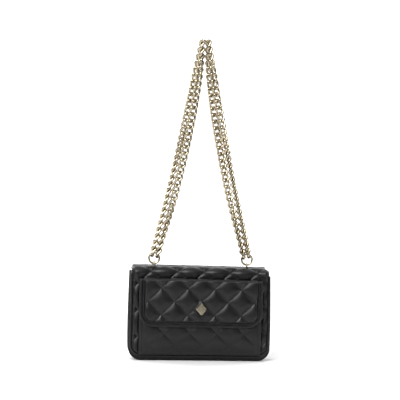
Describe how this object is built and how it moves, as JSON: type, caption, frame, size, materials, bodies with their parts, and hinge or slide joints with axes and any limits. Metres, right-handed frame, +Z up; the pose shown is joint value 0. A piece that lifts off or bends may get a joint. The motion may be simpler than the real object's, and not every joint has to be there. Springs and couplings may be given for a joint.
{
  "type": "crossbody purse",
  "caption": "Quilted black crossbody purse with a full-width cover, an outside pocket with a padded flap, and a doubled gold curb-chain strap on rings and posts.",
  "frame": {"origin": "the hang point: the top of the chain's loops, where a hook, hand or shoulder carries the strap", "axes": "+X to the purse's left-hand side as worn facing out (the viewer's right), -Y the front with the pocket and its flap, +Z up along the hanging chain"},
  "size_m": [0.2102, 0.0657, 0.4783],
  "materials": {
    "gold": "polished",
    "leather": "satin",
    "quilted_leather": "satin",
    "lining": "matte",
    "board": "matte",
    "magnet": "satin"
  },
  "bodies": {
    "chain_strap": {"chain_rear_left": "gold", "chain_front_left": "gold", "chain_rear_right": "gold", "chain_front_right": "gold", "strap_rings": "gold"},
    "cover": {"cover_skin": "quilted_leather", "cover_board": "board", "cover_lining": "lining", "cover_binding": "leather", "cover_magnet": "magnet", "pocket_panel": "quilted_leather", "pocket_lining": "lining", "pocket_gusset": "leather", "pocket_snap_socket": "gold", "strap_posts": "gold", "post_washers": "gold", "post_screws": "gold"},
    "pocket_flap": {"flap_base": "leather", "flap_pad": "quilted_leather", "flap_lining": "lining", "emblem": "gold", "emblem_washer": "gold", "pocket_snap_stud": "gold"},
    "purse_body": {"front_panel": "leather", "rear_panel": "leather", "gusset": "leather", "front_piping": "leather", "rear_piping": "leather", "base_board": "board", "purse_lining": "lining", "inner_pocket": "lining", "body_magnet": "magnet", "rear_fold": "leather"}
  },
  "joints": [
    {"name": "bag_swing", "type": "hinge", "parent": "chain_strap", "child": "cover", "pos_m": [0, 0, -0.3344], "axis": [1, 0, 0], "range_deg": [-60, 60]},
    {"name": "cover_open", "type": "hinge", "parent": "cover", "child": "purse_body", "pos_m": [0, 0.03, -0.3456], "axis": [1, 0, 0], "range_deg": [0, 110]},
    {"name": "pocket_flap_open", "type": "hinge", "parent": "cover", "child": "pocket_flap", "pos_m": [0, -0.0152, -0.3555], "axis": [-1, 0, 0], "range_deg": [0, 90]}
  ]
}
